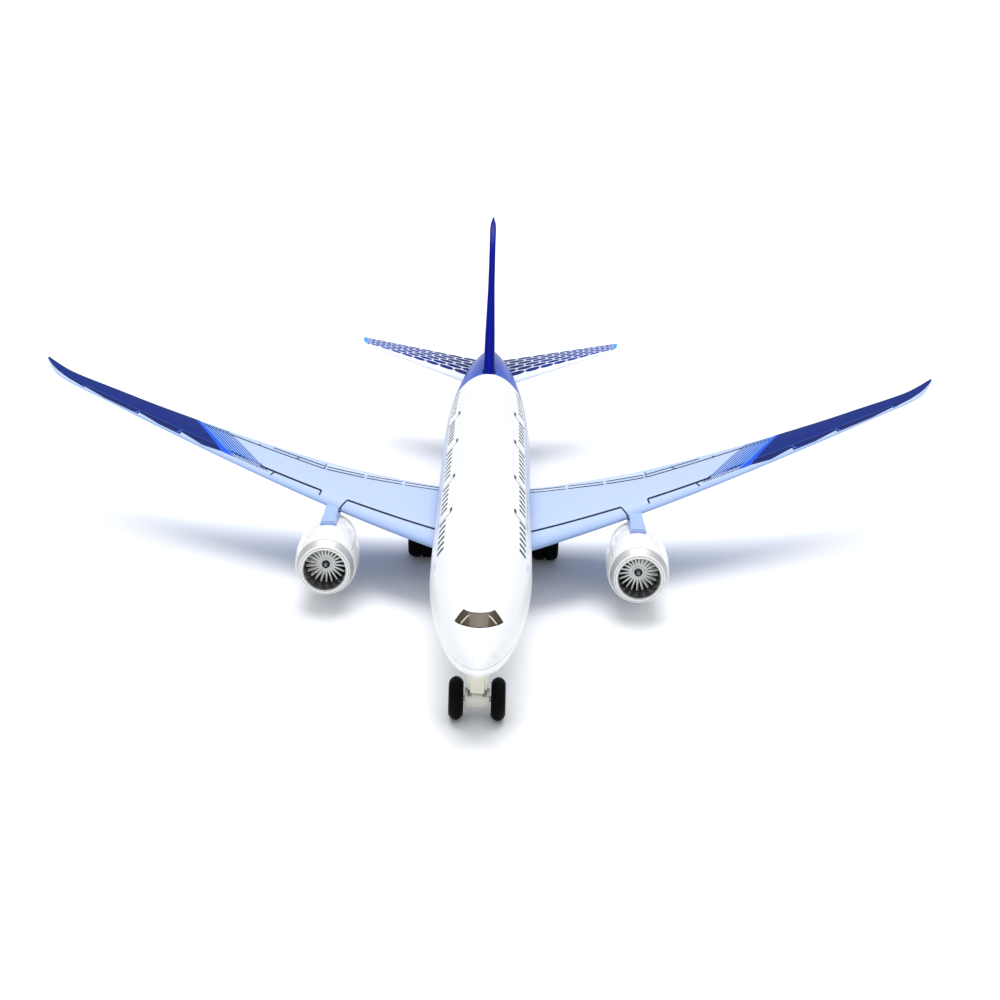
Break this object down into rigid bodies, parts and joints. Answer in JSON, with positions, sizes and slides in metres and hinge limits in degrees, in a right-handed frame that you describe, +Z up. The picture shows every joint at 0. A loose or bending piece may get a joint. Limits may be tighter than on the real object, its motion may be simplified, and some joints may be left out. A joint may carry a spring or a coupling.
{
  "type": "desktop airliner model",
  "caption": "Desktop model of a wide-body airliner on rolling wheels, with plug-in wings and tail, spinning engine fans and a flywheel friction drive in the belly.",
  "frame": {"origin": "on the ground the model stands on, under the middle of its length and of its wing span", "axes": "+Z up, nose towards -Y, port wing towards +X"},
  "size_m": [0.2036, 0.188, 0.054],
  "materials": {
    "body_white": "glossy white moulding with printed markings and a blue sprayed tail",
    "belly_white": "glossy off-white moulding",
    "window_smoke": "clear smoked brown plastic",
    "fin_blue": "glossy deep blue",
    "tailplane_white": "glossy white with printed blue scales",
    "leg_ivory": "unpainted ivory moulding",
    "block_natural": "natural translucent moulding",
    "steel": "plain drawn or turned steel",
    "gear_nylon": "natural nylon",
    "casing_black": "fine spark-textured black moulding",
    "screw_steel": "zinc plated steel",
    "wing_blue": "glossy light blue moulding with navy print",
    "nose_wheel_black": "soft black moulding",
    "hub_grey": "grey moulding",
    "tyre_black": "black rubber",
    "lip_white": "glossy white",
    "ring_silver": "silver sprayed plastic",
    "cowl_white": "glossy white",
    "fan_white": "white moulding",
    "pin_steel": "dark nickel-plated steel",
    "core_dark": "black moulding"
  },
  "bodies": {
    "airframe": {"upper_fuselage_shell": "body_white", "lower_fuselage_shell": "belly_white", "cockpit_window": "window_smoke", "tail_fin": "fin_blue", "tailplane": "tailplane_white", "nose_gear_leg": "leg_ivory", "nose_axle_block": "block_natural", "drive_casing_port": "casing_black", "drive_casing_starboard": "casing_black", "drive_casing_screws": "screw_steel", "nose_ballast": "steel", "body_screws": "screw_steel", "port_wing": "wing_blue", "port_engine_lip": "lip_white", "port_intake_ring": "ring_silver", "port_engine_cowl": "cowl_white", "port_fan_pin": "pin_steel", "port_engine_core": "core_dark", "starboard_wing": "wing_blue", "starboard_engine_lip": "lip_white", "starboard_intake_ring": "ring_silver", "starboard_engine_cowl": "cowl_white", "starboard_fan_pin": "pin_steel", "starboard_engine_core": "core_dark"},
    "nose_wheelset": {"nose_axle": "steel", "port_nose_wheel": "nose_wheel_black", "starboard_nose_wheel": "nose_wheel_black"},
    "main_wheelset": {"main_axle": "steel", "axle_gear": "gear_nylon", "port_main_hub": "hub_grey", "starboard_main_hub": "hub_grey", "port_main_tyre": "tyre_black", "starboard_main_tyre": "tyre_black"},
    "idler": {"idler_gear": "gear_nylon", "idler_shaft": "steel"},
    "flywheel_assembly": {"flywheel": "steel", "flywheel_pinion": "gear_nylon", "flywheel_shaft": "steel"},
    "port_fan_rotor": {"port_fan": "fan_white"},
    "starboard_fan_rotor": {"starboard_fan": "fan_white"}
  },
  "joints": [
    {"name": "main_wheels_spin", "type": "hinge", "parent": "airframe", "child": "main_wheelset", "pos_m": [0, -0.004, 0.0054], "axis": [1, 0, 0], "continuous": true},
    {"name": "idler_spin", "type": "hinge", "parent": "airframe", "child": "idler", "pos_m": [0, -0.00675, 0.00933], "axis": [1, 0, 0], "continuous": true},
    {"name": "flywheel_spin", "type": "hinge", "parent": "airframe", "child": "flywheel_assembly", "pos_m": [0, -0.0115, 0.01145], "axis": [1, 0, 0], "continuous": true},
    {"name": "nose_wheels_spin", "type": "hinge", "parent": "airframe", "child": "nose_wheelset", "pos_m": [0, -0.0837, 0.0039], "axis": [1, 0, 0], "continuous": true},
    {"name": "port_fan_spin", "type": "hinge", "parent": "airframe", "child": "port_fan_rotor", "pos_m": [0.0313, -0.037, 0.00885], "axis": [0, 1, 0], "continuous": true},
    {"name": "starboard_fan_spin", "type": "hinge", "parent": "airframe", "child": "starboard_fan_rotor", "pos_m": [-0.0313, -0.037, 0.00885], "axis": [0, 1, 0], "continuous": true}
  ],
  "couplings": [
    {"joint": "idler_spin", "follows": "main_wheels_spin", "ratio": -1.6667},
    {"joint": "flywheel_spin", "follows": "main_wheels_spin", "ratio": 3.1481}
  ]
}
